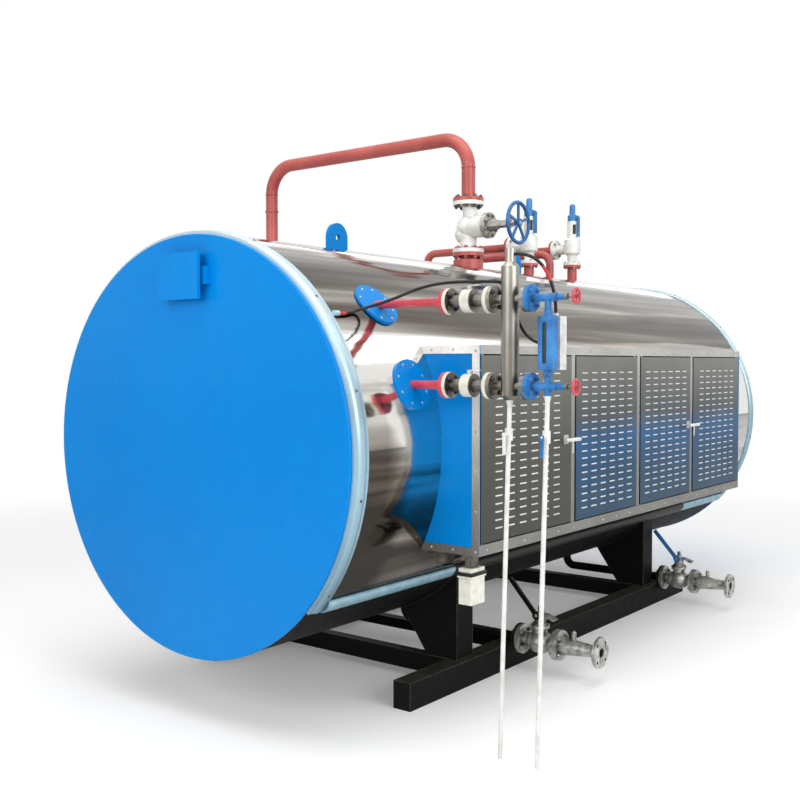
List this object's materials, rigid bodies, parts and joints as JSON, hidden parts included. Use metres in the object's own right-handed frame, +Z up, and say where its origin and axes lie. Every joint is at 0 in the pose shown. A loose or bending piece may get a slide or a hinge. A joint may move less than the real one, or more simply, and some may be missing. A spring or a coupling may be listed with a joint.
{
  "type": "industrial electric steam boiler",
  "caption": "Horizontal jacketed boiler drum on a skid with a louvred terminal cabinet, level gauge, steam valve with pipe loop, safety valves and blowdown valves.",
  "frame": {"origin": "on the ground under the middle of the overall size", "axes": "+Y along the drum from its front cover to the rear, +X to the cabinet side, +Z up"},
  "size_m": [3.6778, 4.91, 3.2095],
  "materials": {
    "jacket_sheet": "bright rolled sheet",
    "black_steel": "matt black paint",
    "blue_paint": "gloss enamel",
    "red_paint": "gloss enamel",
    "trim_sheet": "satin",
    "stainless": "mirror polished sheet",
    "white_valve": "satin paint",
    "cast_steel": "sand cast, silver paint",
    "column_steel": "turned",
    "blue_cast": "satin paint",
    "white_tube": "satin",
    "box_plastic": "fine texture",
    "cable_rubber": "smooth",
    "sight_glass": "clear",
    "bright_steel": "plated"
  },
  "bodies": {
    "boiler": {"vessel_shell": "black_steel", "jacket": "jacket_sheet", "front_cover": "blue_paint", "rear_cover": "blue_paint", "edge_trims": "trim_sheet", "side_trims": "trim_sheet", "plate_stand": "blue_paint", "lifting_lugs": "blue_paint", "top_nozzles": "red_paint", "steam_valve": "white_valve", "steam_pipe": "red_paint", "safety_valves": "white_valve", "safety_caps": "blue_cast", "discharge_pipes": "red_paint", "vent_pipe": "red_paint", "rosettes": "blue_paint", "level_pipes": "red_paint", "isolating_valves": "white_valve", "water_column": "column_steel", "gauge_cocks": "blue_cast", "level_gauge": "blue_cast", "sight_glass": "sight_glass", "gauge_lamp": "white_tube", "level_cable": "cable_rubber", "lamp_lead": "cable_rubber", "drain_tubes": "white_tube", "cabinet_frame": "stainless", "cabinet_front_panel": "blue_paint", "cabinet_rear_panel": "blue_paint", "cabinet_end_trims": "stainless", "cabinet_top": "stainless", "cabinet_floor": "stainless", "junction_box": "box_plastic", "base_rails": "black_steel", "cross_members": "black_steel", "saddles": "black_steel", "blowdown_pipes": "black_steel", "blowdown_valves": "cast_steel"},
    "door_1": {"cabinet_door_1": "stainless", "door_handle_front": "bright_steel"},
    "door_2": {"cabinet_door_2": "stainless"},
    "door_3": {"cabinet_door_3": "stainless", "door_handle_rear": "bright_steel"},
    "door_4": {"cabinet_door_4": "stainless"},
    "steam_wheel": {"steam_handwheel": "blue_cast"},
    "gauge_wheel_top": {"gauge_wheel_upper": "red_paint"},
    "gauge_wheel_low": {"gauge_wheel_lower": "red_paint"},
    "drain_lever_1": {"drain_lever_column": "white_tube"},
    "drain_lever_2": {"drain_lever_gauge": "blue_cast"},
    "blowdown_lever_1": {"blowdown_lever_front": "black_steel"},
    "blowdown_lever_2": {"blowdown_lever_rear": "blue_cast"}
  },
  "joints": [
    {"name": "door_1_hinge", "type": "hinge", "parent": "boiler", "child": "door_1", "pos_m": [1.246, -1.727, 1.305], "axis": [0, 0, -1], "range_deg": [0, 90]},
    {"name": "door_2_hinge", "type": "hinge", "parent": "boiler", "child": "door_2", "pos_m": [1.246, -0.143, 1.305], "axis": [0, 0, 1], "range_deg": [0, 90]},
    {"name": "door_3_hinge", "type": "hinge", "parent": "boiler", "child": "door_3", "pos_m": [1.246, -0.051, 1.305], "axis": [0, 0, -1], "range_deg": [0, 90]},
    {"name": "door_4_hinge", "type": "hinge", "parent": "boiler", "child": "door_4", "pos_m": [1.246, 1.501, 1.305], "axis": [0, 0, 1], "range_deg": [0, 90]},
    {"name": "steam_wheel_turn", "type": "hinge", "parent": "boiler", "child": "steam_wheel", "pos_m": [0.415, -0.045, 2.581], "axis": [1, 0, 0], "range_deg": [0, 1440]},
    {"name": "gauge_wheel_top_turn", "type": "hinge", "parent": "boiler", "child": "gauge_wheel_top", "pos_m": [1.827, -1.93, 1.97], "axis": [1, 0, 0], "range_deg": [0, 720]},
    {"name": "gauge_wheel_low_turn", "type": "hinge", "parent": "boiler", "child": "gauge_wheel_low", "pos_m": [1.827, -1.93, 1.607], "axis": [1, 0, 0], "range_deg": [0, 720]},
    {"name": "drain_lever_1_turn", "type": "hinge", "parent": "boiler", "child": "drain_lever_1", "pos_m": [1.51507, -1.93, 1.405], "axis": [0, 1, 0], "range_deg": [0, 90]},
    {"name": "drain_lever_2_turn", "type": "hinge", "parent": "boiler", "child": "drain_lever_2", "pos_m": [1.69447, -1.93, 1.401], "axis": [0, 1, 0], "range_deg": [0, 90]},
    {"name": "blowdown_lever_1_turn", "type": "hinge", "parent": "boiler", "child": "blowdown_lever_1", "pos_m": [0.96987, -0.715, 0.327], "axis": [0, 1, 0], "range_deg": [0, 84]},
    {"name": "blowdown_lever_2_turn", "type": "hinge", "parent": "boiler", "child": "blowdown_lever_2", "pos_m": [0.92687, 1.305, 0.327], "axis": [0, 1, 0], "range_deg": [0, 84]}
  ]
}
